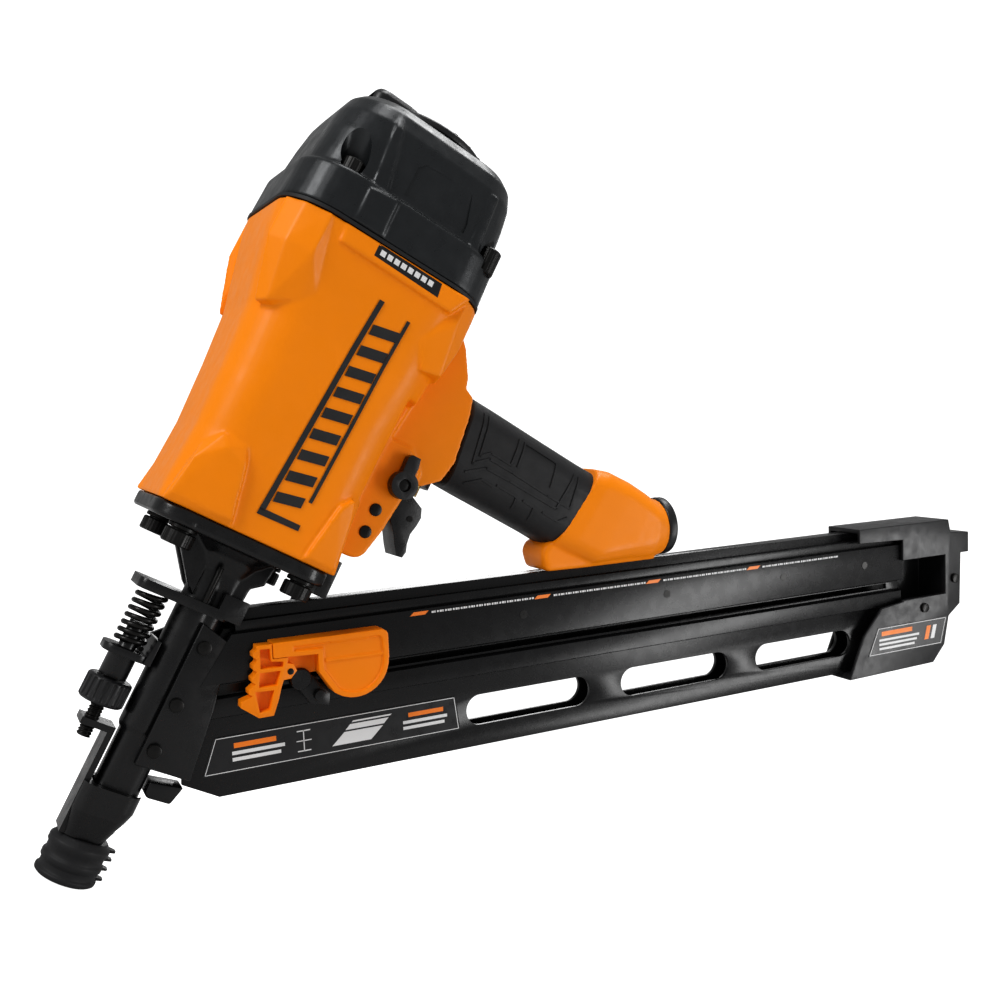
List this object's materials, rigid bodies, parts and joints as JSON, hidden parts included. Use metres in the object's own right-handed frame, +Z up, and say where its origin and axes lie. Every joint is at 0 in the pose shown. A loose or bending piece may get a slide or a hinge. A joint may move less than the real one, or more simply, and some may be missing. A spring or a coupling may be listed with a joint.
{
  "type": "pneumatic nail gun",
  "caption": "Air-driven framing nailer with a round-nosed body, side-slotted slanted magazine, sprung safety nose with depth wheel, and a rubber-gripped handle.",
  "frame": {"origin": "centre of the no-mar tip's face, on the driver axis", "axes": "+Z up the driver axis, away from the work; +X towards the handle's rear; Y across the tool"},
  "size_m": [0.4986, 0.099, 0.389],
  "materials": {
    "orange_paint": "satin powder coat",
    "cap_paint": "satin powder coat",
    "black_metal": "semi-gloss black coat",
    "black_anodised": "black anodised",
    "black_oxide": "black oxide",
    "steel": "ground",
    "aluminium": "machined",
    "rubber": "matte moulded",
    "black_plastic": "moulded",
    "orange_plastic": "moulded",
    "label_film": "printed film",
    "brass": "turned"
  },
  "bodies": {
    "housing": {"main_housing": "orange_paint", "cylinder_cap": "cap_paint", "cap_gasket": "rubber", "cap_bolts": "black_oxide", "flange_bolts": "black_oxide", "cylinder_sleeve": "aluminium", "bumper": "rubber", "nose_casting": "black_metal", "spring_seat_plate": "black_metal", "guide_pin": "black_oxide", "nose_clamp_near": "black_metal", "nose_clamp_far": "black_metal", "clamp_screws": "black_oxide", "front_block": "black_metal", "magazine_near_plate": "black_anodised", "magazine_far_plate": "black_anodised", "magazine_base_rail": "black_anodised", "magazine_top_rail": "black_anodised", "foot_screws": "black_oxide", "magazine_rivets": "black_oxide", "magazine_end_cap": "black_plastic", "end_cap_screws": "black_oxide", "magazine_label": "label_film", "end_cap_label": "label_film", "cheek_pins": "black_oxide", "trigger_valve_body": "black_plastic", "deflector_screw": "black_oxide", "handle_end_cap": "black_plastic", "air_inlet_bushing": "steel", "handle_grip": "rubber"},
    "piston_driver": {"piston": "aluminium", "piston_ring": "rubber", "driver_blade": "steel"},
    "head_valve": {"head_valve": "aluminium", "head_valve_spring": "steel"},
    "deflector": {"exhaust_deflector": "cap_paint"},
    "trigger": {"trigger": "black_metal"},
    "trigger_plunger": {"trigger_plunger": "brass", "trigger_valve_spring": "steel"},
    "selector": {"selector_lever": "black_plastic", "trigger_pivot": "black_oxide"},
    "safety": {"safety_bracket": "black_metal", "safety_spring": "black_oxide"},
    "depth_wheel": {"depth_wheel": "black_plastic"},
    "contact_tip": {"contact_arm": "black_metal", "adjust_rod": "black_oxide", "no_mar_tip": "rubber"},
    "pusher": {"pusher_housing": "orange_plastic", "pusher_blade": "black_metal", "latch_pin": "black_oxide", "pusher_spring_coil": "steel"},
    "thumb_latch": {"thumb_latch": "orange_plastic"}
  },
  "joints": [
    {"name": "piston_stroke", "type": "slide", "parent": "housing", "child": "piston_driver", "axis": [0, 0, -1], "range_m": [0, 0.1]},
    {"name": "head_valve_lift", "type": "slide", "parent": "housing", "child": "head_valve", "axis": [0, 0, 1], "range_m": [0, 0.005], "stiffness_N_per_m": 500, "springref_m": -0.01, "deforming": ["head_valve_spring"]},
    {"name": "deflector_turn", "type": "hinge", "parent": "housing", "child": "deflector", "pos_m": [0.002, 0, 0.38], "axis": [0, 0, 1], "continuous": true},
    {"name": "trigger_pull", "type": "hinge", "parent": "housing", "child": "trigger", "pos_m": [0.058, 0, 0.222], "axis": [0, -1, 0], "range_deg": [0, 12.1], "stiffness_Nm_per_rad": 0.3, "springref_deg": -17.19},
    {"name": "plunger_lift", "type": "slide", "parent": "housing", "child": "trigger_plunger", "axis": [0, 0, 1], "range_m": [0, 0.003], "deforming": ["trigger_valve_spring"]},
    {"name": "selector_turn", "type": "hinge", "parent": "housing", "child": "selector", "pos_m": [0.058, 0, 0.222], "axis": [0, -1, 0], "range_deg": [0, 100]},
    {"name": "safety_press", "type": "slide", "parent": "housing", "child": "safety", "axis": [0, 0, 1], "range_m": [0, 0.012], "stiffness_N_per_m": 600, "springref_m": -0.02, "deforming": ["safety_spring"]},
    {"name": "depth_turn", "type": "hinge", "parent": "safety", "child": "depth_wheel", "pos_m": [-0.02, 0, 0.082], "axis": [0, 0, 1], "range_deg": [0, 1442]},
    {"name": "depth_slide", "type": "slide", "parent": "safety", "child": "contact_tip", "axis": [0, 0, -1], "range_m": [0, 0.006]},
    {"name": "pusher_slide", "type": "slide", "parent": "housing", "child": "pusher", "axis": [0.866, 0, 0.5], "range_m": [0, 0.335], "stiffness_N_per_m": 15, "springref_m": -0.6},
    {"name": "latch_press", "type": "hinge", "parent": "pusher", "child": "thumb_latch", "pos_m": [0.04746, 0, 0.1218], "axis": [0, -1, 0], "range_deg": [0, 8], "stiffness_Nm_per_rad": 0.05, "springref_deg": -28.65}
  ],
  "couplings": [
    {"joint": "trigger_pull", "follows": "plunger_lift", "rad_per_m": 69.8},
    {"joint": "depth_turn", "follows": "depth_slide", "rad_per_m": 4188.8}
  ]
}
